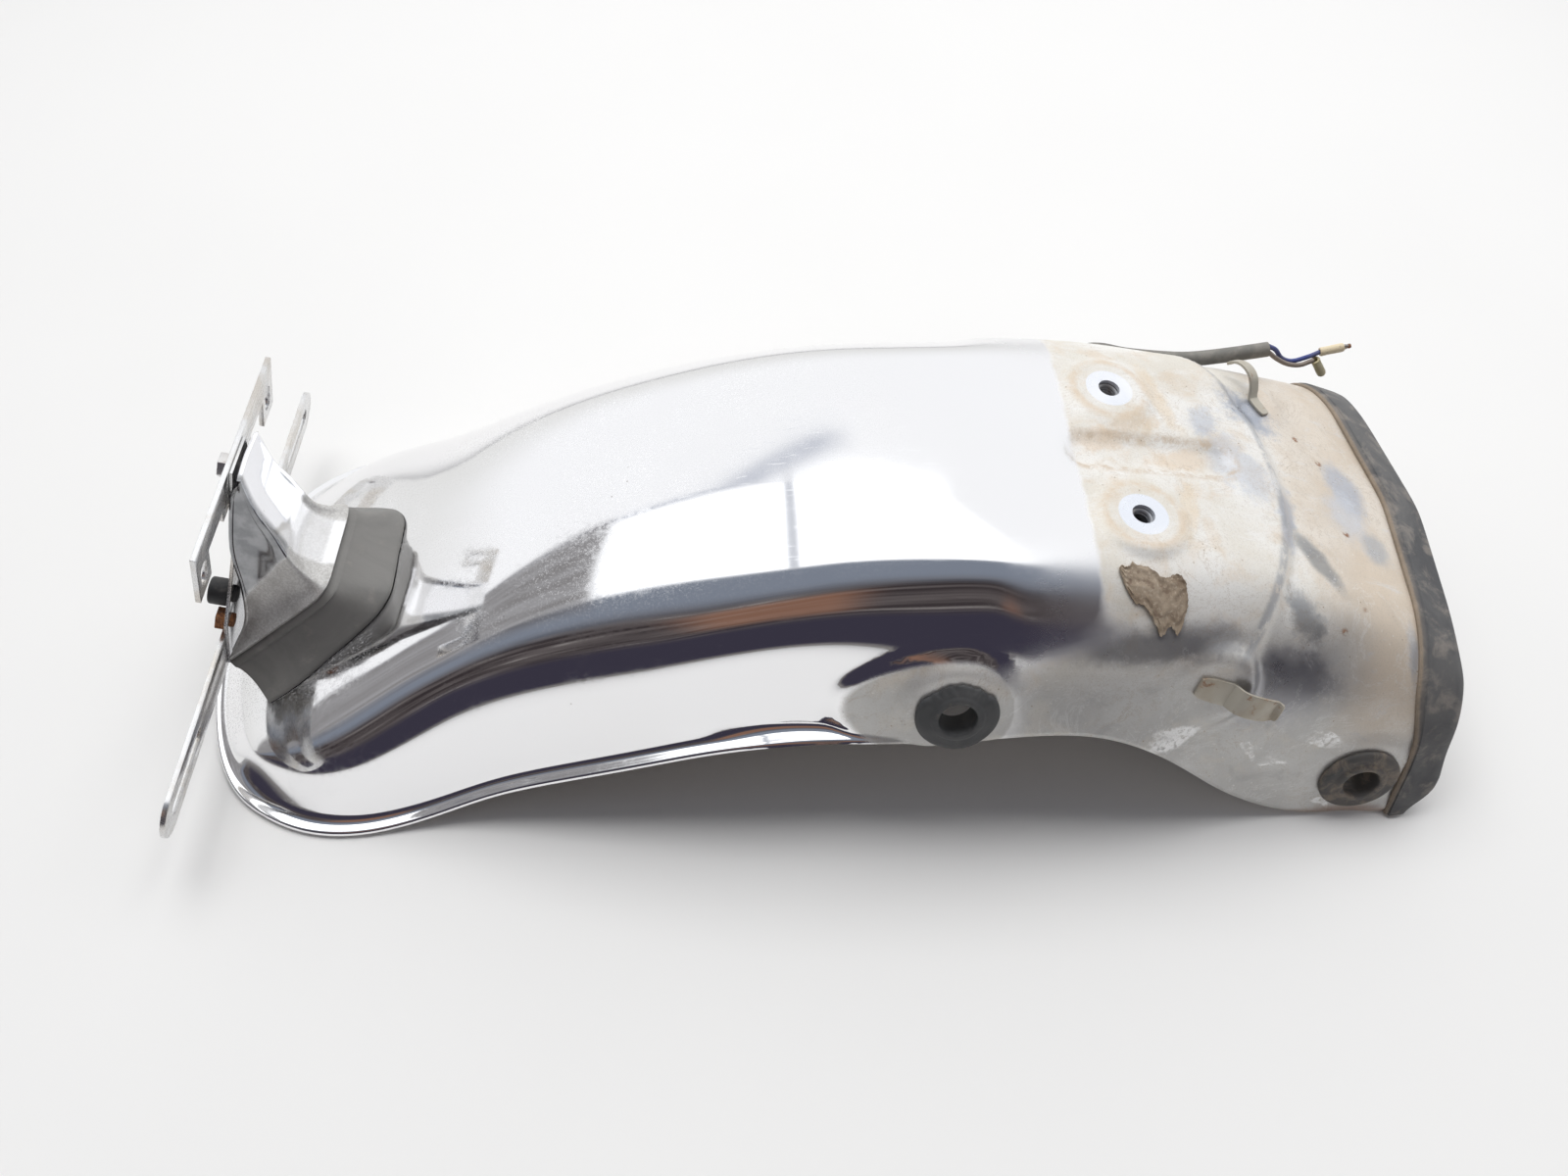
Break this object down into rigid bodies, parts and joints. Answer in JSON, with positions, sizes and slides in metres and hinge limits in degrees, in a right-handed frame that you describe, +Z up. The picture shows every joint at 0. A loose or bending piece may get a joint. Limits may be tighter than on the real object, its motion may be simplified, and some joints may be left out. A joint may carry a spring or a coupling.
{
  "type": "motorcycle rear fender",
  "caption": "Pressed motorcycle rear fender with a rolled side flange, a rubber front edge, grommets, cable clips and a tail stay for the number plate.",
  "frame": {"origin": "centre of the fender's length and width, in the plane on which its side edges stand", "axes": "+X towards the front end of the fender, +Y to its left side, +Z up"},
  "size_m": [0.5305, 0.2338, 0.1222],
  "materials": {
    "fender_chrome": "mirror chrome, hazed and dusty, with rust stains at the front",
    "edge_rubber": "matt black rubber with brown dust",
    "grommet_rubber": "matt black rubber, torn and dusty",
    "nut_steel": "dull plated steel",
    "clip_steel": "dull steel with light rust",
    "gasket_rubber": "satin dark grey rubber",
    "stay_chrome": "mirror chrome with dust at its foot",
    "bar_steel": "bright plated steel",
    "bolt_rust": "rusty steel",
    "bush_rubber": "black rubber",
    "sheath_plastic": "dusty black sheath",
    "wire_blue": "blue insulation",
    "wire_grey": "grey brown insulation",
    "sleeve_cream": "cream sleeve",
    "sleeve_tan": "yellowed sleeve",
    "terminal_metal": "dull terminal",
    "tape_paper": "torn brown tape"
  },
  "bodies": {
    "root": {"fender_shell": "fender_chrome", "front_edge_rubber": "edge_rubber", "grommet_rear_right": "grommet_rubber", "grommet_rear_left": "grommet_rubber", "grommet_front_right": "grommet_rubber", "grommet_front_left": "grommet_rubber", "weld_nut_right": "nut_steel", "weld_nut_left": "nut_steel", "side_clip": "clip_steel", "crown_clip": "clip_steel", "stay_gasket": "gasket_rubber", "tail_stay": "stay_chrome", "plate_web": "stay_chrome", "upper_plate_bar": "bar_steel", "lower_plate_bar": "bar_steel", "upper_bar_bolt": "bolt_rust", "stay_bolt_right": "bolt_rust", "stay_bolt_left": "bolt_rust", "stay_bush_right": "bush_rubber", "stay_bush_left": "bush_rubber", "lead_grommet": "bush_rubber", "lead_sheath": "sheath_plastic", "wire_blue": "wire_blue", "wire_grey": "wire_grey", "sleeve_front": "sleeve_cream", "sleeve_side": "sleeve_tan", "terminal_tip": "terminal_metal", "tape_patch": "tape_paper"}
  },
  "joints": []
}
